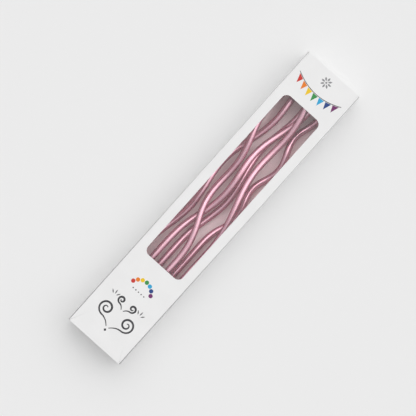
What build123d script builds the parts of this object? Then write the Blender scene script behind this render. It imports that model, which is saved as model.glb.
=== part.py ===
from build123d import *

import os
from collections import namedtuple
from math import ceil, cos, hypot, pi, radians, sin, sqrt

# A window carton of six twisted wax candles, lying on its back panel.
# X runs along the carton to the candles' burning ends, Y across it, Z up through the front panel.
# The origin is under the middle of the carton. Lengths are in millimetres, angles in degrees.

# Wax candles and their wicks
ROD_DIAMETER = 3.8
COIL_RADIUS = 2.3
CANDLE_LENGTH = 181.0
TWIST_RAMP = 27.0
TIP_LENGTH = 5.0
TIP_ROUNDING = 1.0
WICK_DIAMETER = 1.0
WICK_OUT = 7.0
WICK_PLAY = 0.05

# How the candles lie in the carton
ROD_GAP = 0.4
WALL_GAP = 0.3
FLOOR_GAP = 0.1
HEADROOM = 3.5
END_PLAY = 6.8

# Straight stems of the candles, the length of one turn of their twists, and how far their axes bow
STEM_1 = 37.0
STEM_2 = 57.0
STEM_3 = 52.0
STEM_4 = 53.0
STEM_5 = 53.5
STEM_6 = 63.5
PITCH_1 = 66.8
PITCH_2 = 62.0
PITCH_3 = 66.0
PITCH_4 = 67.0
PITCH_5 = 75.5
PITCH_6 = 37.7
BOW_1 = 2.1
BOW_2 = 4.3
BOW_4 = -1.6
BOW_6 = -2.1

# Each candle as it lies: which way round the stem sits on the coil, and where the coil's axis runs
# at the stem and at the tip, from -1 at the right wall to 1 at the left wall
Lay = namedtuple("Lay", "stem pitch clocking at_stem at_tip bow")
CANDLES = {
    1: Lay(STEM_1, PITCH_1, clocking=80.0, at_stem=0.93, at_tip=0.5, bow=BOW_1),
    2: Lay(STEM_2, PITCH_2, clocking=313.0, at_stem=-0.19, at_tip=1.0, bow=BOW_2),
    3: Lay(STEM_3, PITCH_3, clocking=72.5, at_stem=0.38, at_tip=-0.16, bow=0.0),
    4: Lay(STEM_4, PITCH_4, clocking=80.0, at_stem=-0.04, at_tip=0.15, bow=BOW_4),
    5: Lay(STEM_5, PITCH_5, clocking=192.0, at_stem=-0.97, at_tip=0.1, bow=0.0),
    6: Lay(STEM_6, PITCH_6, clocking=75.0, at_stem=-0.75, at_tip=-0.55, bow=BOW_6),
}
LAYING_ORDER = (4, 6, 1, 3, 5, 2)

# Folded carton board and its window
BOARD = 0.45
CARTON_WIDTH = 39.0
EDGE_RADIUS = 0.8
CREASE_GAP = 0.05
GLUE_FLAP_HEIGHT = 12.0
GLUE_FLAP_END = 9.0
GLUE_FLAP_SLANT = 4.0
WINDOW_LENGTH = 120.5
WINDOW_FROM_TOP = 25.8
WINDOW_MARGIN = 6.2
WINDOW_RADIUS = 3.6
FILM = 0.2
FILM_LAP = 4.5
FILM_RADIUS = 2.0

# End closures: lid, tuck tongue and dust flaps
LID_SIDE_GAP = 0.4
TUCK_GAP = 0.1
TONGUE_LENGTH = 9.0
TONGUE_LEAN = 9.0
TONGUE_SIDE_GAP = 0.8
TONGUE_TAPER = 1.0
TONGUE_RADIUS = 4.0
FLAP_GAP = 0.1
FLAP_LENGTH = 13.0
FLAP_PER_LID = 0.5
FLAP_RELIEF = 1.3
FLAP_UNDER = 3.2
FLAP_SHOULDER = 2.5
FLAP_RADIUS = 1.5

# The carton is cut round its candles, with play at both ends.
end_stack = 2 * BOARD + FLAP_GAP
half_length = (CANDLE_LENGTH + WICK_OUT) / 2 + END_PLAY + end_stack
half_width = CARTON_WIDTH / 2
side_end = half_length - BOARD - FLAP_GAP
foot_x = -half_length + end_stack + END_PLAY
tip_x = foot_x + CANDLE_LENGTH
rod_radius = ROD_DIAMETER / 2
free_half_width = half_width - 2 * BOARD - WALL_GAP - rod_radius - COIL_RADIUS
floor_height = BOARD + FLOOR_GAP + rod_radius + COIL_RADIUS


def ramped(distance):
    """Length of twist gathered a given distance beyond the stem, easing in over the ramp."""
    if distance <= 0:
        return 0.0
    if distance < TWIST_RAMP:
        return distance**2 / (2 * TWIST_RAMP)
    return distance - TWIST_RAMP / 2


def ramp_rate(distance):
    return min(max(distance / TWIST_RAMP, 0.0), 1.0)


def rod_point(lay, x, height=0.0):
    """Centre of the rod at x: a left-hand coil round an axis that leans and bows from the stem on."""
    twist_start = foot_x + lay.stem
    gathered = ramped(x - twist_start)
    share = gathered / ramped(tip_x - twist_start)
    angle = radians(lay.clocking) + 2 * pi * gathered / lay.pitch
    lean = free_half_width * (lay.at_stem + (lay.at_tip - lay.at_stem) * share)
    across = lean + 4 * lay.bow * share * (1 - share)
    return Vector(x, across + COIL_RADIUS * sin(angle), height + COIL_RADIUS * cos(angle))


def rod_direction(lay, x):
    """Direction of the rod at x, the slope of rod_point."""
    twist_start = foot_x + lay.stem
    whole = ramped(tip_x - twist_start)
    gathered = ramped(x - twist_start)
    rate = ramp_rate(x - twist_start)
    angle = radians(lay.clocking) + 2 * pi * gathered / lay.pitch
    turning = 2 * pi / lay.pitch * rate
    lean = free_half_width * (lay.at_tip - lay.at_stem) + 4 * lay.bow * (1 - 2 * gathered / whole)
    return Vector(
        1.0,
        lean * rate / whole + COIL_RADIUS * cos(angle) * turning,
        -COIL_RADIUS * sin(angle) * turning,
    ).normalized()


def sampled(lay, height=0.0):
    """Points along a rod about a millimetre apart."""
    count = ceil(CANDLE_LENGTH)
    return [rod_point(lay, foot_x + CANDLE_LENGTH * i / count, height) for i in range(count + 1)]


def resting_height(points, laid):
    """Lowest height at which a rod clears the floor and every rod already laid."""
    need = ROD_DIAMETER + ROD_GAP
    barred = []
    for p in points:
        for q in laid:
            if abs(p.X - q.X) < need:
                apart = hypot(p.X - q.X, p.Y - q.Y)
                if apart < need:
                    reach = sqrt(need**2 - apart**2)
                    barred.append((q.Z - p.Z - reach, q.Z - p.Z + reach))
    height = floor_height
    for low, high in sorted(barred):
        if low > height:
            break
        height = max(height, high)
    return height


# The candles are laid one after another, each as low as the ones under it allow.
heights = {}
laid_points = []
for number in LAYING_ORDER:
    heights[number] = resting_height(sampled(CANDLES[number]), laid_points)
    laid_points += sampled(CANDLES[number], heights[number])
pile_top = max(p.Z for p in laid_points) + rod_radius
depth = pile_top + HEADROOM + FILM + BOARD
front_inner = depth - BOARD

own_gaps = []
for number, lay in CANDLES.items():
    points = sampled(lay, heights[number])
    half_turn = ceil(lay.pitch / 2)
    pairs = [(p, q) for i, p in enumerate(points) for q in points[i + half_turn :]]
    own_gaps.append(min((p - q).length for p, q in pairs) - ROD_DIAMETER)
print("carton", round(2 * half_length, 2), CARTON_WIDTH, round(depth, 2))
print("heights of the coil axes", {n: round(h, 2) for n, h in sorted(heights.items())})
print("least gap of a rod to itself", round(min(own_gaps), 2))


def biarc(start, start_direction, end, end_direction):
    """Middle point and direction of two tangent arcs that join two points."""
    chord = end - start
    both = start_direction + end_direction
    spread = 2 * (1 - start_direction.dot(end_direction))
    along = chord.dot(both)
    arm = (sqrt(along**2 + spread * chord.dot(chord)) - along) / spread
    middle_chord = chord - both * arm
    middle = start + start_direction * arm + middle_chord * 0.5
    return middle, middle_chord.normalized()


def draw_spine(lay, height, beyond=0.0):
    """Line of a rod: straight stem, two arcs for each quarter turn, straight tip and beyond."""
    twist_start = foot_x + lay.stem
    twist_end = tip_x - TIP_LENGTH
    spans = ceil(4 * (twist_end - twist_start) / lay.pitch)
    stations = [twist_start + (twist_end - twist_start) * i / spans for i in range(spans + 1)]
    Line(rod_point(lay, foot_x, height), rod_point(lay, twist_start, height))
    for here, there in zip(stations, stations[1:]):
        start = rod_point(lay, here, height)
        end = rod_point(lay, there, height)
        start_direction = rod_direction(lay, here)
        middle, middle_direction = biarc(start, start_direction, end, rod_direction(lay, there))
        TangentArc(start, middle, tangent=start_direction)
        TangentArc(middle, end, tangent=middle_direction)
    tip_direction = rod_direction(lay, twist_end)
    tip_start = rod_point(lay, twist_end, height)
    Line(tip_start, tip_start + tip_direction * ((TIP_LENGTH + beyond) / tip_direction.X))


os.makedirs("parts", exist_ok=True)


def keep(part, name):
    part.label = name
    export_step(part, f"parts/{name}.step")


# Sleeve: front, sides and back folded from one blank, with a glue flap stuck inside the left side
with BuildPart() as sleeve:
    with BuildSketch(Plane.YZ.offset(-half_length)):
        with Locations((0, depth / 2)):
            RectangleRounded(CARTON_WIDTH, depth, EDGE_RADIUS)
            RectangleRounded(
                CARTON_WIDTH - 2 * BOARD,
                depth - 2 * BOARD,
                EDGE_RADIUS - BOARD,
                mode=Mode.SUBTRACT,
            )
    extrude(amount=2 * half_length)
    glue_long = half_length - GLUE_FLAP_END
    glue_short = glue_long - GLUE_FLAP_SLANT
    with BuildSketch(Plane.XZ.offset(-(half_width - BOARD))):
        with BuildLine():
            Polyline(
                (-glue_long, EDGE_RADIUS),
                (glue_long, EDGE_RADIUS),
                (glue_short, GLUE_FLAP_HEIGHT),
                (-glue_short, GLUE_FLAP_HEIGHT),
                close=True,
            )
        make_face()
    extrude(amount=BOARD)
    window_x = half_length - WINDOW_FROM_TOP - WINDOW_LENGTH / 2
    window_width = CARTON_WIDTH - 2 * WINDOW_MARGIN
    with BuildSketch(Plane.XY.offset(front_inner)):
        with Locations((window_x, 0)):
            RectangleRounded(WINDOW_LENGTH, window_width, WINDOW_RADIUS)
    extrude(amount=BOARD, mode=Mode.SUBTRACT)
    for end in (-1, 1):
        trim = half_length - side_end
        with Locations((end * (side_end + trim / 2), 0, depth / 2)):
            Box(trim, CARTON_WIDTH, depth - 2 * BOARD, mode=Mode.SUBTRACT)
        with BuildSketch(Plane.XZ):
            with BuildLine():
                Polyline(
                    (end * half_length, depth),
                    (end * half_length, front_inner),
                    (end * (half_length - BOARD), front_inner),
                    close=True,
                )
            make_face()
        extrude(amount=half_width, both=True, mode=Mode.SUBTRACT)
keep(sleeve.part, "carton_sleeve")

# Window film: clear sheet glued to the inside of the front panel
with BuildPart() as film:
    with BuildSketch(Plane.XY.offset(front_inner)):
        with Locations((window_x, 0)):
            RectangleRounded(WINDOW_LENGTH + 2 * FILM_LAP, window_width + 2 * FILM_LAP, FILM_RADIUS)
    extrude(amount=-FILM)
keep(film.part, "window_film")

# Lid: end panel on the front panel's end crease, mitred there so that it swings about the outer edge
lid_foot = BOARD + TUCK_GAP
lid_top = depth - CREASE_GAP
with BuildPart() as lid:
    with BuildSketch(Plane.XZ):
        with BuildLine():
            Polyline(
                (half_length, lid_foot),
                (half_length, lid_top),
                (half_length - BOARD, lid_top - BOARD),
                (half_length - BOARD, lid_foot),
                close=True,
            )
        make_face()
    extrude(amount=half_width - LID_SIDE_GAP, both=True)

# Tongue: folded off the lid's lower edge, tucked in over the back panel and leaning a little off it
lean = radians(TONGUE_LEAN)
tongue_plane = Plane(
    origin=(half_length - BOARD, 0, lid_foot + BOARD),
    x_dir=(-cos(lean), 0, sin(lean)),
    z_dir=(sin(lean), 0, cos(lean)),
)
tongue_root = half_width - BOARD - TONGUE_SIDE_GAP
with BuildPart() as tongue:
    with BuildSketch(tongue_plane) as tongue_outline:
        with BuildLine():
            Polyline(
                (CREASE_GAP, -tongue_root),
                (TONGUE_LENGTH, TONGUE_TAPER - tongue_root),
                (TONGUE_LENGTH, tongue_root - TONGUE_TAPER),
                (CREASE_GAP, tongue_root),
                close=True,
            )
        make_face()
        fillet(tongue_outline.vertices().group_by(Axis.X)[-1], TONGUE_RADIUS)
    extrude(amount=-BOARD)

# Dust flap: folded in off the left side's end, its upper edge falling away to let the lid swing ahead of it
flap_root = half_width - BOARD - CREASE_GAP
flap_tip = half_width - FLAP_LENGTH
with BuildPart() as dust_flap:
    with BuildSketch(Plane.YZ.offset(side_end - BOARD)) as flap_outline:
        with BuildLine():
            Polyline(
                (flap_root, EDGE_RADIUS + FLAP_GAP),
                (flap_root, front_inner - FLAP_RELIEF),
                (flap_tip, front_inner - FLAP_RELIEF - FLAP_PER_LID * FLAP_LENGTH),
                (flap_tip, BOARD + FLAP_UNDER),
                (flap_root - FLAP_SHOULDER, BOARD + FLAP_UNDER),
                close=True,
            )
        make_face()
        fillet(flap_outline.vertices().group_by(Axis.X)[0], FLAP_RADIUS)
    extrude(amount=BOARD)

# Both ends of the carton close alike, and each end has a flap on either side.
top_right_flap = mirror(dust_flap.part, about=Plane.XZ)
top_pieces = {
    "lid": lid.part,
    "tuck_tongue": tongue.part,
    "left_dust_flap": dust_flap.part,
    "right_dust_flap": top_right_flap,
}
for name, piece in top_pieces.items():
    keep(mirror(piece, about=Plane.YZ), f"bottom_{name}")
    keep(piece, f"top_{name}")

# Candles: wax round a wick, with a flat foot and a rounded tip
for number, lay in CANDLES.items():
    height = heights[number]
    foot_plane = Plane(origin=rod_point(lay, foot_x, height), z_dir=(1, 0, 0))
    with BuildPart() as candle:
        with BuildLine() as spine:
            draw_spine(lay, height)
        with BuildSketch(foot_plane):
            Circle(rod_radius)
            Circle(WICK_DIAMETER / 2 + WICK_PLAY, mode=Mode.SUBTRACT)
        sweep(path=spine.wire())
        fillet(candle.faces().sort_by(Axis.X)[-1].outer_wire().edges(), TIP_ROUNDING)
    keep(candle.part, f"candle_{number}")

    with BuildPart() as wick:
        with BuildLine() as wick_line:
            draw_spine(lay, height, WICK_OUT)
        with BuildSketch(foot_plane):
            Circle(WICK_DIAMETER / 2)
        sweep(path=wick_line.wire())
    keep(wick.part, f"wick_{number}")
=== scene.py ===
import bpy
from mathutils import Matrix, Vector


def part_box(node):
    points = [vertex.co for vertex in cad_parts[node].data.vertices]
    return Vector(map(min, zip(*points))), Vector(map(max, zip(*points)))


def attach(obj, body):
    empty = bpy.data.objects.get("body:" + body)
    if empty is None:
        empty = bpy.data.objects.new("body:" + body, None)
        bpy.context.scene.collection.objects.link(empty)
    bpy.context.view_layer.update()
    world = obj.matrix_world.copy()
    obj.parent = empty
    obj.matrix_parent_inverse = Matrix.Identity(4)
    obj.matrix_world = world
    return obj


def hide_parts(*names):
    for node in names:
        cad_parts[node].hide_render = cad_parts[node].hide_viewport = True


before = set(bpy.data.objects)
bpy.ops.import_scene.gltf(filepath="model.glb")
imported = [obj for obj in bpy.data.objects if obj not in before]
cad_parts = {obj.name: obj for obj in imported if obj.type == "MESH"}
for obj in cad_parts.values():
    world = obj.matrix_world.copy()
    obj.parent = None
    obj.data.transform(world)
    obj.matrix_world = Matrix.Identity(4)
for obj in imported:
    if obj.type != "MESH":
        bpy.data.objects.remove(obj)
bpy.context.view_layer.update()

from math import cos, pi, radians, sin

import bmesh
import bpy
from mathutils import Matrix, Vector


# Carton sleeve: front, sides and back folded from one blank of white folding board. The outside
# is clay-coated and varnished, the inside and the cut edges are bare pulp. The glue flap is stuck
# inside the left side, and the die cut the window out of the front.
MM = 0.001
BOARD_WHITE = (0.8, 0.797, 0.797, 1)
BOARD_BRIGHT = (0.823, 0.82, 0.82, 1)
BARE_PULP = ((0.78, 0.75, 0.73, 1), (0.84, 0.81, 0.8, 1))
# Bare pulp inside the sleeve, painted pinker and lighter with the pink bounce light from the candles
PAINTED_BOUNCE_LINING = ((0.93, 0.75, 0.76, 1), (0.97, 0.81, 0.82, 1))
BOARD_CRACK = (0.66, 0.65, 0.64, 1)
COATING = 0.06 * MM
EDGE_ROUNDING = 0.8 * MM
CLOUDS_PER_METRE = 90.0
FIBRES_PER_METRE = 2600.0
FIBRES_ALONG = (0.35, 1, 1)
sleeve_low, sleeve_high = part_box("carton_sleeve")
sleeve_middle = (sleeve_low + sleeve_high) / 2
sleeve_half = (sleeve_high - sleeve_low) / 2
board_thickness = sleeve_high.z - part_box("window_film")[1].z


def new_material(name):
    """A material with one Principled shader, its node tree and that shader."""
    material = bpy.data.materials.new(name)
    material.use_nodes = True
    tree = material.node_tree
    return material, tree, tree.nodes["Principled BSDF"]


def add_node(tree, kind, inputs=(), **settings):
    """A node with its settings, and its inputs set to values or linked to sockets."""
    node = tree.nodes.new(kind)
    for name, value in settings.items():
        setattr(node, name, value)
    for socket, value in dict(inputs).items():
        if isinstance(value, bpy.types.NodeSocket):
            tree.links.new(value, node.inputs[socket])
        else:
            node.inputs[socket].default_value = value
    return node


def math_node(tree, operation, *values):
    return add_node(tree, "ShaderNodeMath", enumerate(values), operation=operation).outputs[0]


def vector_node(tree, operation, *values):
    node = add_node(tree, "ShaderNodeVectorMath", enumerate(values), operation=operation)
    return node.outputs["Value" if operation in ("LENGTH", "DOT_PRODUCT") else "Vector"]


def remap(tree, value, low, high, to_low=0.0, to_high=1.0):
    node = add_node(tree, "ShaderNodeMapRange", enumerate((value, low, high, to_low, to_high)))
    return node.outputs["Result"]


def mix_colours(tree, share, first, second):
    """Two colours mixed, through the factor, A and B sockets of a colour Mix node."""
    node = add_node(tree, "ShaderNodeMix", data_type="RGBA")
    for socket, value in zip((node.inputs[0], node.inputs[6], node.inputs[7]), (share, first, second)):
        if isinstance(value, bpy.types.NodeSocket):
            tree.links.new(value, socket)
        else:
            socket.default_value = value
    return node.outputs[2]


def noise(tree, place, scale, detail=3.0, roughness=0.5):
    inputs = {"Vector": place, "Scale": scale, "Detail": detail, "Roughness": roughness}
    return add_node(tree, "ShaderNodeTexNoise", inputs).outputs["Fac"]


def stretched(tree, place, factors):
    return vector_node(tree, "MULTIPLY", place, factors)


def object_place(tree):
    return add_node(tree, "ShaderNodeTexCoord").outputs["Object"]


def bump(tree, shader, height, strength, distance):
    inputs = {"Strength": strength, "Distance": distance, "Height": height}
    tree.links.new(add_node(tree, "ShaderNodeBump", inputs).outputs["Normal"], shader.inputs["Normal"])


def folded_depth(tree, place):
    """How far a point lies under the outside of the folded sleeve, and whether it is on a fold."""
    centred = vector_node(tree, "SUBTRACT", place, sleeve_middle)
    core = sleeve_half - Vector.Fill(3, EDGE_ROUNDING)
    core.x = sleeve_half.x
    past_core = vector_node(tree, "SUBTRACT", vector_node(tree, "ABSOLUTE", centred), core)
    outwards = vector_node(tree, "MAXIMUM", past_core, (0, 0, 0))
    reach = vector_node(tree, "LENGTH", outwards)
    depth = math_node(tree, "SUBTRACT", EDGE_ROUNDING, reach)
    parts = add_node(tree, "ShaderNodeSeparateXYZ", {"Vector": outwards})
    fold = math_node(tree, "MINIMUM", parts.outputs["Y"], parts.outputs["Z"])
    return depth, remap(tree, fold, 0.05 * MM, 0.5 * MM)


def flat_depth(normal, distance):
    """Depth under a printed face, the same at both ends of the carton, for a flat piece."""

    def depth_of(tree, place):
        parts = add_node(tree, "ShaderNodeSeparateXYZ", {"Vector": place})
        outward = math_node(tree, "ABSOLUTE", parts.outputs["X"])
        both_ends = add_node(
            tree, "ShaderNodeCombineXYZ", {"X": outward, "Z": parts.outputs["Z"]}
        ).outputs["Vector"]
        along = vector_node(tree, "DOT_PRODUCT", both_ends, normal)
        return math_node(tree, "SUBTRACT", distance, along), 0.0

    return depth_of


def board_material(name, depth_of, lining=BARE_PULP):
    """White coated board: smooth and bright on its printed side, bare pulp on cut edges, and the
    lining's colours inside, which for the sleeve hold painted pink bounce light.
    """
    material, tree, shader = new_material(name)
    place = object_place(tree)
    depth, fold = depth_of(tree, place)
    bare = remap(tree, depth, 0.5 * COATING, 1.5 * COATING)
    cloudy = noise(tree, place, CLOUDS_PER_METRE, detail=4.0)
    along_grain = stretched(tree, place, FIBRES_ALONG)
    fibres = noise(tree, along_grain, FIBRES_PER_METRE, detail=4.0, roughness=0.6)
    shade = remap(tree, fibres, 0.3, 0.7)
    inner = remap(tree, depth, board_thickness - 2 * COATING, board_thickness - COATING)
    # Inside face in the lining's colours: bare pulp, or for the sleeve pulp with painted pink bounce
    # light from the candles
    pulp_and_painted_bounce = mix_colours(
        tree, inner, mix_colours(tree, shade, *BARE_PULP), mix_colours(tree, shade, *lining)
    )
    coated = mix_colours(tree, remap(tree, cloudy, 0.35, 0.65), BOARD_WHITE, BOARD_BRIGHT)
    cracks = math_node(tree, "MULTIPLY", fold, remap(tree, fibres, 0.52, 0.62))
    worn = mix_colours(tree, math_node(tree, "MULTIPLY", cracks, 0.2), coated, BOARD_CRACK)
    tree.links.new(mix_colours(tree, bare, worn, pulp_and_painted_bounce), shader.inputs["Base Color"])
    smooth = remap(tree, cloudy, 0.3, 0.7, 0.42, 0.52)
    rough = math_node(tree, "ADD", smooth, math_node(tree, "MULTIPLY", bare, 0.4))
    tree.links.new(rough, shader.inputs["Roughness"])
    shader.inputs["Specular IOR Level"].default_value = 0.4
    grain = math_node(tree, "MULTIPLY", fibres, remap(tree, bare, 0, 1, 0.25, 1))
    relief = math_node(tree, "ADD", grain, cracks)
    bump(tree, shader, relief, strength=0.25, distance=0.03 * MM)
    return material


def finish_node(node, material):
    """Gives a CAD piece its finish."""
    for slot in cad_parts[node].material_slots:
        slot.material = material


def new_piece(name, bm, materials, body):
    """Turns a bmesh into a smooth piece that rides on a body."""
    bmesh.ops.recalc_face_normals(bm, faces=bm.faces)
    mesh = bpy.data.meshes.new(name)
    bm.to_mesh(mesh)
    bm.free()
    mesh.polygons.foreach_set("use_smooth", [True] * len(mesh.polygons))
    for material in materials:
        mesh.materials.append(material)
    piece = bpy.data.objects.new(name, mesh)
    bpy.context.scene.collection.objects.link(piece)
    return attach(piece, body)


# Print on the front panel: a garland of pennants and a rosette at the burning end, and an arch of
# spots over scrolls at the other end. They are plain party ornaments in rainbow inks and dark grey,
# cut into the panel as flat faces.
INKS = {
    "red": (0.56, 0.03, 0.02),
    "orange": (0.78, 0.2, 0.01),
    "yellow": (0.83, 0.55, 0.01),
    "green": (0.03, 0.27, 0.06),
    "sky": (0.02, 0.36, 0.64),
    "navy": (0.01, 0.05, 0.22),
    "purple": (0.16, 0.02, 0.13),
    "grey": (0.04, 0.04, 0.045),
    "silver": (0.26, 0.26, 0.27),
}
RAINBOW = ("red", "orange", "yellow", "green", "sky", "navy", "purple")
MOTTLE_PER_METRE = 1800.0
# Places and sizes on the panel, in millimetres along it and across it
GARLAND_LOWEST = 86.4
GARLAND_RISE = 4.0
GARLAND_HALF_WIDTH = 15.6
STRING_WIDTH = 0.4
PENNANT_STEP = 4.3
PENNANT_TOP = (1.75, 0.9, 0.0, -0.9, -1.75)
PENNANT_LENGTH = 5.0
ROSETTE_CENTRE = Vector((95.2, 0))
ROSETTE_PETALS = 8
ARCH_CENTRE = Vector((-64, 0))
ARCH_RADIUS = 7.2
ARCH_STEP = radians(22)
ARCH_SPOT = 1.25
DIAMONDS = 5
DIAMOND_STEP = 2.0
DIAMOND_HALF_WIDTH = 0.5
PEN_THIN = 0.45
PEN_THICK = 1.2
PETAL_POINT = 0.1
RAY_CENTRE = Vector((-75.0, 9.2))
RAY_DEGREES = (-35, 5, 45)
DROP_CENTRE = Vector((-92.4, 0))


def ink_material(name, colour):
    """Offset ink on coated board, a little uneven where the paper takes it."""
    material, tree, shader = new_material(f"{name}_ink")
    place = object_place(tree)
    mottle = remap(tree, noise(tree, place, MOTTLE_PER_METRE), 0.3, 0.7)
    thin = tuple(0.85 * c + 0.1 for c in colour)
    share = math_node(tree, "MULTIPLY", mottle, 0.2)
    tree.links.new(mix_colours(tree, share, (*colour, 1), (*thin, 1)), shader.inputs["Base Color"])
    tree.links.new(remap(tree, mottle, 0, 1, 0.36, 0.46), shader.inputs["Roughness"])
    shader.inputs["Specular IOR Level"].default_value = 0.3
    return material


def stroke(points, widths):
    """Outline of a pen stroke along points, with its width at each point."""
    left, right = [], []
    last = len(points) - 1
    for i, (point, width) in enumerate(zip(points, widths)):
        along = (points[min(i + 1, last)] - points[max(i - 1, 0)]).normalized()
        aside = Vector((-along.y, along.x)) * width / 2
        left.append(point + aside)
        right.append(point - aside)
    return left + right[::-1]


def swelling(count, thin, thick):
    """Widths of a stroke that swells towards its middle."""
    return [thin + (thick - thin) * sin(pi * i / (count - 1)) for i in range(count)]


def spot(centre, radius, sides=20):
    turns = [2 * pi * i / sides for i in range(sides)]
    return [centre + radius * Vector((cos(t), sin(t))) for t in turns]


def petal(centre, angle, start, end, width):
    """Outline of a pointed petal from one distance of a centre to another."""
    out = Vector((cos(angle), sin(angle)))
    points = [centre + out * (start + (end - start) * i / 8) for i in range(9)]
    return stroke(points, swelling(len(points), PETAL_POINT, width))


def scroll(centre, small, large, turns, tail):
    """Outline of a spiral that unrolls towards the foot of the panel and runs off to a tail's end."""
    coil_steps, tail_steps = 48, 12
    points = []
    for i in range(coil_steps + 1):
        angle = pi - 2 * pi * turns * (1 - i / coil_steps)
        radius = small + (large - small) * i / coil_steps
        points.append(centre + radius * Vector((cos(angle), sin(angle))))
    start = points[-1]
    bend = Vector((start.x, start.y + 0.55 * (tail.y - start.y)))
    for i in range(1, tail_steps + 1):
        t = i / tail_steps
        points.append(start * (1 - t) ** 2 + bend * 2 * t * (1 - t) + tail * t**2)
    return stroke(points, swelling(len(points), PEN_THIN, PEN_THICK))


def mirrored(loop):
    return [Vector((p.x, -p.y)) for p in loop]


def garland_height(across):
    """Where the garland's string hangs, in millimetres along the panel."""
    return GARLAND_LOWEST + GARLAND_RISE * (across / GARLAND_HALF_WIDTH) ** 2


prints = []
middle = len(RAINBOW) // 2
across_panel = [GARLAND_HALF_WIDTH * (i / 24 - 1) for i in range(49)]
string = [Vector((garland_height(y), y)) for y in across_panel]
prints.append(("grey", stroke(string, [STRING_WIDTH] * len(string))))
for number, ink in enumerate(RAINBOW):
    y = PENNANT_STEP * (middle - number)
    top = [Vector((garland_height(y + s) - STRING_WIDTH, y + s)) for s in PENNANT_TOP]
    prints.append((ink, [*top, Vector((garland_height(y) - PENNANT_LENGTH, y))]))
for number in range(ROSETTE_PETALS):
    angle = 2 * pi * number / ROSETTE_PETALS
    prints.append(("silver", petal(ROSETTE_CENTRE, angle, start=1.0, end=3.4, width=1.1)))
prints.append(("silver", spot(ROSETTE_CENTRE, radius=0.6)))
for number, ink in enumerate(RAINBOW):
    angle = ARCH_STEP * (middle - number)
    place = ARCH_CENTRE + ARCH_RADIUS * Vector((cos(angle), sin(angle)))
    prints.append((ink, spot(place, ARCH_SPOT)))
for number in range(DIAMONDS):
    place = ARCH_CENTRE + Vector((0, DIAMOND_STEP * (number - DIAMONDS // 2)))
    prints.append(("grey", spot(place, DIAMOND_HALF_WIDTH, sides=4)))
big = scroll(Vector((-82.5, 7.6)), small=0.7, large=4.6, turns=1.6, tail=Vector((-90.5, 0.9)))
little = scroll(Vector((-73.4, 4.0)), small=0.5, large=2.3, turns=1.25, tail=Vector((-78.0, 0.7)))
for loop in (big, little):
    prints += [("grey", loop), ("grey", mirrored(loop))]
prints.append(("grey", spot(DROP_CENTRE, radius=0.9, sides=4)))
for degrees in RAY_DEGREES:
    ray = petal(RAY_CENTRE, radians(degrees), start=1.6, end=4.2, width=0.6)
    prints += [("grey", ray), ("grey", mirrored(ray))]


def printed_front(bm):
    """Fills the front panel anew, with each print as a face of its own."""
    tolerance = 0.001 * MM
    bmesh.ops.remove_doubles(bm, verts=bm.verts, dist=tolerance)
    top = sleeve_high.z - 10 * tolerance
    front = [f for f in bm.faces if all(v.co.z > top for v in f.verts)]
    rim = [e for e in bm.edges if sum(f in front for f in e.link_faces) == 1]
    bmesh.ops.delete(bm, geom=front, context="FACES_KEEP_BOUNDARY")
    outlines = []
    for ink, loop in prints:
        places = [(p.x * MM, p.y * MM, sleeve_high.z) for p in loop]
        verts = [bmesh.ops.create_vert(bm, co=place)["vert"][0] for place in places]
        edges = [bm.edges.new(pair) for pair in zip(verts, verts[1:] + verts[:1])]
        bmesh.ops.contextual_create(bm, geom=edges, mat_nr=1 + list(INKS).index(ink))
        outlines += edges
    bmesh.ops.triangle_fill(bm, use_beauty=True, edges=rim + outlines, normal=(0, 0, 1))


sleeve_bm = bmesh.new()
sleeve_bm.from_mesh(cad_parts["carton_sleeve"].data)
printed_front(sleeve_bm)
sleeve_inks = [ink_material(name, colour) for name, colour in INKS.items()]
# The sleeve's inside is painted with pink bounce light from the candles
sleeve_board = board_material("sleeve_board", folded_depth, PAINTED_BOUNCE_LINING)
sleeve = new_piece("printed_sleeve", sleeve_bm, [sleeve_board, *sleeve_inks], "carton")
for polygon in sleeve.data.polygons:
    if max(abs(c) for c in polygon.normal) > 0.9999:
        polygon.use_smooth = False
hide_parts("carton_sleeve")


# Window film: a sheet of clear film glued behind the window, glossy and almost colourless.
# It reflects a little of the light and lets the rest through to the candles.
RIPPLES_PER_METRE = 70.0
RIPPLES_ALONG = (0.4, 1, 1)
film, film_tree, film_shader = new_material("clear_film")
film_shader.inputs["Base Color"].default_value = (0.96, 0.97, 0.98, 1)
film_shader.inputs["Metallic"].default_value = 1.0
film_shader.inputs["Roughness"].default_value = 0.06
film_shader.inputs["Alpha"].default_value = 0.03
film_place = stretched(film_tree, object_place(film_tree), RIPPLES_ALONG)
film_ripple = noise(film_tree, film_place, RIPPLES_PER_METRE, detail=2.0)
bump(film_tree, film_shader, film_ripple, strength=0.2, distance=0.2 * MM)
finish_node("window_film", film)


# Lids: the end panels, of the same blank as the sleeve, hinged on the front panel's end creases.
# Their printed side faces out, and the side that meets the candles is bare pulp.
lid_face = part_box("top_lid")[1].x
lid_board = board_material("lid_board", flat_depth((1, 0, 0), lid_face))
for end in ("top", "bottom"):
    finish_node(f"{end}_lid", lid_board)


# Tuck tongues: folded off the lids and tucked in along the back panel, so that the printed side
# lies against the back. They lean a little off it, as sprung board does.
TONGUE_LEAN = radians(9)
tongue_low, tongue_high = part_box("top_tuck_tongue")
tongue_normal = Vector((-sin(TONGUE_LEAN), 0, -cos(TONGUE_LEAN)))
tongue_corner = Vector((tongue_high.x, 0, tongue_low.z))
tongue_depth = flat_depth(tongue_normal, tongue_corner.dot(tongue_normal))
tongue_board = board_material("tongue_board", tongue_depth)
for end in ("top", "bottom"):
    finish_node(f"{end}_tuck_tongue", tongue_board)


# Dust flaps: small flaps folded in off the side panels behind each lid, of the same blank, with the
# coated side out.
flap_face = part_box("top_left_dust_flap")[1].x
flap_board = board_material("flap_board", flat_depth((1, 0, 0), flap_face))
for end in ("top", "bottom"):
    for side in ("left", "right"):
        finish_node(f"{end}_{side}_dust_flap", flap_board)


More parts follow.
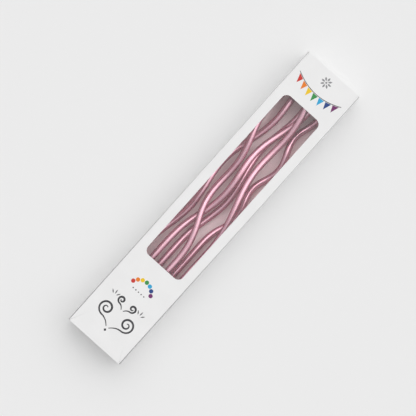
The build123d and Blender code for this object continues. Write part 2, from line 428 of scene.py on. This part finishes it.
# Candles: thin wax tapers twisted by hand while warm, with a straight stem left for the cake, then
# lacquered in metallic rose pink. The rod is a tube round its wick, cut flat at the foot and
# rounded at the burning end.
ROD_RADIUS = 1.9 * MM
COIL_RADIUS = 2.3 * MM
BORE_RADIUS = 0.55 * MM
TWIST_RAMP = 27 * MM
TIP_LENGTH = 5 * MM
TIP_ROUNDING = 1 * MM
FOOT_BEVEL = 0.15 * MM
FREE_HALF_WIDTH = 14.1 * MM
FOOT_X = -94 * MM
TIP_X = 87 * MM
ROD_SIDES = 36
ROD_STEP = 1 * MM
# How each candle lies: straight stem and length of one turn in millimetres, clocking of the stem in
# degrees, the coil's axis at stem and tip as shares of the free half width, and the axis's bow in
# millimetres
LAYS = {
    1: (37.0, 66.8, 80, 0.93, 0.5, 2.1),
    2: (57.0, 62.0, 313, -0.19, 1.0, 4.3),
    3: (52.0, 66.0, 72.5, 0.38, -0.16, 0),
    4: (53.0, 67.0, 80, -0.04, 0.15, -1.6),
    5: (53.5, 75.5, 192, -0.97, 0.1, 0),
    6: (63.5, 37.7, 75, -0.75, -0.55, -2.1),
}


def with_height(number, lay):
    """A candle's lay with the height of its coil's axis, from the rod's lowest point."""
    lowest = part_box(f"candle_{number}")[0].z
    return (*lay, lowest + ROD_RADIUS + COIL_RADIUS)


lays = {number: with_height(number, lay) for number, lay in LAYS.items()}


def ramped(distance):
    """Length of twist gathered beyond the stem, easing in over the ramp."""
    if distance <= 0:
        return 0.0
    if distance < TWIST_RAMP:
        return distance**2 / (2 * TWIST_RAMP)
    return distance - TWIST_RAMP / 2


def coil_point(lay, x):
    """Centre of a rod at x: a left-hand coil round an axis that leans and bows."""
    stem, pitch, clocking, at_stem, at_tip, bow, height = lay
    twist_start = FOOT_X + stem * MM
    gathered = ramped(x - twist_start)
    share = gathered / ramped(TIP_X - twist_start)
    angle = radians(clocking) + 2 * pi * gathered / (pitch * MM)
    lean = FREE_HALF_WIDTH * (at_stem + (at_tip - at_stem) * share)
    across = lean + 4 * bow * MM * share * (1 - share)
    return Vector((x, across + COIL_RADIUS * sin(angle), height + COIL_RADIUS * cos(angle)))


def rod_point(lay, x):
    """Centre of a rod at x, running on straight where the tip starts."""
    straight = TIP_X - TIP_LENGTH
    if x <= straight:
        return coil_point(lay, x)
    small = 0.01 * MM
    start = coil_point(lay, straight)
    slope = (start - coil_point(lay, straight - small)) / small
    return start + slope * (x - straight)


def rod_frame(lay, x):
    """Place and turn of a ring round a rod at x, with its Z along the rod."""
    small = 0.05 * MM
    along = (rod_point(lay, x + small) - rod_point(lay, x - small)).normalized()
    up = Vector((0, 0, 1))
    side = up.cross(along).normalized()
    top = along.cross(side)
    turn = Matrix((side, top, along)).transposed().to_4x4()
    return Matrix.Translation(rod_point(lay, x)) @ turn


def steps(start, end, step):
    count = max(1, round(abs(end - start) / step))
    return [start + (end - start) * i / count for i in range(count + 1)]


def sweep_rings(bm, ring, places):
    """Extrudes a ring of edges through a list of (frame, radius), each from a ring of radius 1."""
    edges = ring
    last = None
    for frame_here, radius in places:
        matrix = frame_here @ Matrix.Diagonal((radius, radius, 1, 1))
        if last is None:
            verts = list(dict.fromkeys(v for e in edges for v in e.verts))
            bmesh.ops.transform(bm, matrix=matrix, verts=verts)
        else:
            grown = bmesh.ops.extrude_edge_only(bm, edges=edges)["geom"]
            edges = [g for g in grown if isinstance(g, bmesh.types.BMEdge)]
            verts = [g for g in grown if isinstance(g, bmesh.types.BMVert)]
            edges = [e for e in edges if all(v in verts for v in e.verts)]
            bmesh.ops.transform(bm, matrix=matrix @ last.inverted(), verts=verts)
        last = matrix
    return edges


def unit_ring(bm, sides):
    """Edges of a ring of radius 1, each once and in the same order on every run."""
    verts = bmesh.ops.create_circle(bm, segments=sides, radius=1)["verts"]
    return list(dict.fromkeys(e for v in verts for e in v.link_edges))


def candle_mesh(lay):
    """A rod swept from its foot to its tip and back down the bore that holds the wick."""
    bm = bmesh.new()
    places = [(rod_frame(lay, FOOT_X), ROD_RADIUS - FOOT_BEVEL)]
    for x in steps(FOOT_X + FOOT_BEVEL, TIP_X - TIP_ROUNDING, ROD_STEP):
        places.append((rod_frame(lay, x), ROD_RADIUS))
    for degrees in range(15, 91, 15):
        x = TIP_X - TIP_ROUNDING + TIP_ROUNDING * sin(radians(degrees))
        radius = ROD_RADIUS - TIP_ROUNDING + TIP_ROUNDING * cos(radians(degrees))
        places.append((rod_frame(lay, x), radius))
    places.append((rod_frame(lay, TIP_X), BORE_RADIUS))
    for x in steps(TIP_X - ROD_STEP, FOOT_X, 2 * ROD_STEP):
        places.append((rod_frame(lay, x), BORE_RADIUS))
    first = unit_ring(bm, ROD_SIDES)
    last = sweep_rings(bm, first, places)
    bmesh.ops.bridge_loops(bm, edges=first + last)
    return bm


def straightened(piece, lay):
    """Keeps, on each point, where it was on the straight rod before it was twisted."""
    mesh = piece.data
    attribute = mesh.attributes.new("straight_rod", "FLOAT_VECTOR", "POINT")
    for point, value in zip(mesh.vertices, attribute.data):
        local = rod_frame(lay, point.co.x).inverted() @ point.co
        value.vector = (local.x, local.y, point.co.x)


STREAKS_PER_METRE = 1500.0
FLAKES_PER_METRE = 9000.0
WAVES_PER_METRE = 260.0
ROSE_PINK = (0.95, 0.71, 0.76, 1)
ROSE_PALE = (1.0, 0.83, 0.87, 1)
lacquer, lacquer_tree, lacquer_shader = new_material("rose_lacquer")
on_rod = add_node(lacquer_tree, "ShaderNodeAttribute", attribute_name="straight_rod").outputs["Vector"]
streaks = noise(lacquer_tree, stretched(lacquer_tree, on_rod, (1, 1, 0.06)), STREAKS_PER_METRE)
flakes = noise(lacquer_tree, on_rod, FLAKES_PER_METRE, detail=2.0)
waves = noise(lacquer_tree, stretched(lacquer_tree, on_rod, (1, 1, 0.5)), WAVES_PER_METRE, detail=2.0)
lacquer_tree.links.new(
    mix_colours(lacquer_tree, remap(lacquer_tree, streaks, 0.35, 0.65), ROSE_PINK, ROSE_PALE),
    lacquer_shader.inputs["Base Color"],
)
lacquer_tree.links.new(
    remap(lacquer_tree, streaks, 0.3, 0.7, 0.24, 0.32), lacquer_shader.inputs["Roughness"]
)
lacquer_shader.inputs["Metallic"].default_value = 0.88
# The clear coat hardly bends the light, and its tint deepens where the rod turns away, as dyed
# lacquer does
lacquer_shader.inputs["Coat Weight"].default_value = 1.0
lacquer_shader.inputs["Coat Roughness"].default_value = 0.15
lacquer_shader.inputs["Coat IOR"].default_value = 1.003
lacquer_shader.inputs["Coat Tint"].default_value = (0.79, 0.57, 0.65, 1)
fine_relief = math_node(lacquer_tree, "ADD", streaks, math_node(lacquer_tree, "MULTIPLY", flakes, 0.3))
lacquer_relief = math_node(
    lacquer_tree, "ADD", math_node(lacquer_tree, "MULTIPLY", waves, 4.0), fine_relief
)
bump(lacquer_tree, lacquer_shader, lacquer_relief, strength=0.3, distance=0.02 * MM)

for number, lay in lays.items():
    candle = new_piece(f"rose_candle_{number}", candle_mesh(lay), [lacquer], f"candle_{number}")
    straightened(candle, lay)
    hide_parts(f"candle_{number}")


# Wicks: plaited cotton drawn through the wax, standing out of the burning end and cut square.
# Below the tip each is a plain waxed cord, and three strands show where it stands out.
WICK_RADIUS = 0.5 * MM
WICK_OUT = 7 * MM
STRAND_RADIUS = 0.25 * MM
STRAND_LAY = 2.6 * MM
STRAND_START = TIP_X - 1 * MM
STRANDS = 3
STRAND_SIDES = 10
STRAND_STEP = 0.2 * MM
WICK_SIDES = 12
WICK_STEP = 2 * MM
YARN_PER_METRE = 6000.0
COTTON_DARK = (0.72, 0.66, 0.6, 1)
COTTON_PALE = (0.86, 0.83, 0.78, 1)


def wick_mesh(lay):
    """A cord along the rod's bore, with its strands twisted round each other at the burning end."""
    bm = bmesh.new()
    core = unit_ring(bm, WICK_SIDES)
    in_bore = [(rod_frame(lay, x), WICK_RADIUS) for x in steps(FOOT_X, STRAND_START, WICK_STEP)]
    end = sweep_rings(bm, core, in_bore)
    for loop in (core, end):
        bmesh.ops.edgeloop_fill(bm, edges=loop)
    for strand in range(STRANDS):
        places = []
        for x in steps(STRAND_START, TIP_X + WICK_OUT, STRAND_STEP):
            angle = 2 * pi * (strand / STRANDS + (x - STRAND_START) / STRAND_LAY)
            offset = Vector((cos(angle), sin(angle), 0)) * (WICK_RADIUS - STRAND_RADIUS)
            places.append((rod_frame(lay, x) @ Matrix.Translation(offset), STRAND_RADIUS))
        start = unit_ring(bm, STRAND_SIDES)
        end = sweep_rings(bm, start, places)
        for loop in (start, end):
            bmesh.ops.edgeloop_fill(bm, edges=loop)
    return bm


cotton, cotton_tree, cotton_shader = new_material("waxed_cotton")
on_wick = object_place(cotton_tree)
yarn = noise(cotton_tree, stretched(cotton_tree, on_wick, (0.4, 1, 1)), YARN_PER_METRE)
cotton_tree.links.new(
    mix_colours(cotton_tree, remap(cotton_tree, yarn, 0.3, 0.7), COTTON_DARK, COTTON_PALE),
    cotton_shader.inputs["Base Color"],
)
cotton_shader.inputs["Roughness"].default_value = 0.75
bump(cotton_tree, cotton_shader, yarn, strength=0.5, distance=0.03 * MM)

for number, lay in lays.items():
    wick = new_piece(f"cotton_wick_{number}", wick_mesh(lay), [cotton], f"candle_{number}")
    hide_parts(f"wick_{number}")


# Stage: a plain pale floor in a tent of even light, with one soft strip of light, wide across the
# carton, high over the burning end, and the camera straight above.
FLOOR_GREY = (0.82, 0.82, 0.82, 1)
FLOOR_SIZE = 3.0
floor_bm = bmesh.new()
bmesh.ops.create_grid(floor_bm, x_segments=1, y_segments=1, size=FLOOR_SIZE)
floor_mesh = bpy.data.meshes.new("floor")
floor_bm.to_mesh(floor_mesh)
floor_bm.free()
floor = bpy.data.objects.new("floor", floor_mesh)
bpy.context.scene.collection.objects.link(floor)
floor_finish, _, floor_shader = new_material("pale_floor")
floor_shader.inputs["Base Color"].default_value = FLOOR_GREY
floor_shader.inputs["Roughness"].default_value = 0.9
floor_mesh.materials.append(floor_finish)

TENT_LEVEL = 0.54
KEY_LEVEL = 1.62
KEY_TILT = radians(30)
KEY_SPREAD = 6
KEY_ACROSS = (1, 0.55, 1)
key_towards = (sin(KEY_TILT), 0, cos(KEY_TILT))
world = bpy.data.worlds.new("studio")
world.use_nodes = True
tent = world.node_tree
direction = add_node(tent, "ShaderNodeTexCoord").outputs["Generated"]
strip = vector_node(tent, "NORMALIZE", stretched(tent, direction, KEY_ACROSS))
facing = math_node(tent, "MAXIMUM", vector_node(tent, "DOT_PRODUCT", strip, key_towards), 0.0)
key = math_node(tent, "POWER", facing, KEY_SPREAD)
level = math_node(tent, "MULTIPLY_ADD", key, KEY_LEVEL, TENT_LEVEL)
tent.links.new(level, tent.nodes["Background"].inputs["Strength"])
tent.nodes["Background"].inputs["Color"].default_value = (1, 1, 1, 1)
bpy.context.scene.world = world

PHOTO_SIDE = 416
MM_PER_PIXEL = 0.5659
CAMERA_HEIGHT = 0.9
CARTON_CENTRE_PIXEL = (214.0, 208.05)
CARTON_TURN = radians(48.097)
SENSOR_WIDTH = 36.0
image_right = Vector((cos(CARTON_TURN), -sin(CARTON_TURN), 0))
image_up = Vector((sin(CARTON_TURN), cos(CARTON_TURN), 0))
view_width = PHOTO_SIDE * MM_PER_PIXEL * MM
camera_data = bpy.data.cameras.new("camera")
camera_data.sensor_width = SENSOR_WIDTH
camera_data.lens = SENSOR_WIDTH * (CAMERA_HEIGHT - sleeve_high.z) / view_width
camera = bpy.data.objects.new("camera", camera_data)
left_by = (CARTON_CENTRE_PIXEL[0] - PHOTO_SIDE / 2) * MM_PER_PIXEL * MM
down_by = (PHOTO_SIDE / 2 - CARTON_CENTRE_PIXEL[1]) * MM_PER_PIXEL * MM
turn = Matrix((image_right, image_up, Vector((0, 0, 1)))).transposed().to_4x4()
camera_place = Vector((0, 0, CAMERA_HEIGHT)) - image_right * left_by - image_up * down_by
camera.matrix_world = Matrix.Translation(camera_place) @ turn
bpy.context.scene.collection.objects.link(camera)
bpy.context.scene.camera = camera
bpy.context.scene.view_settings.view_transform = "Standard"
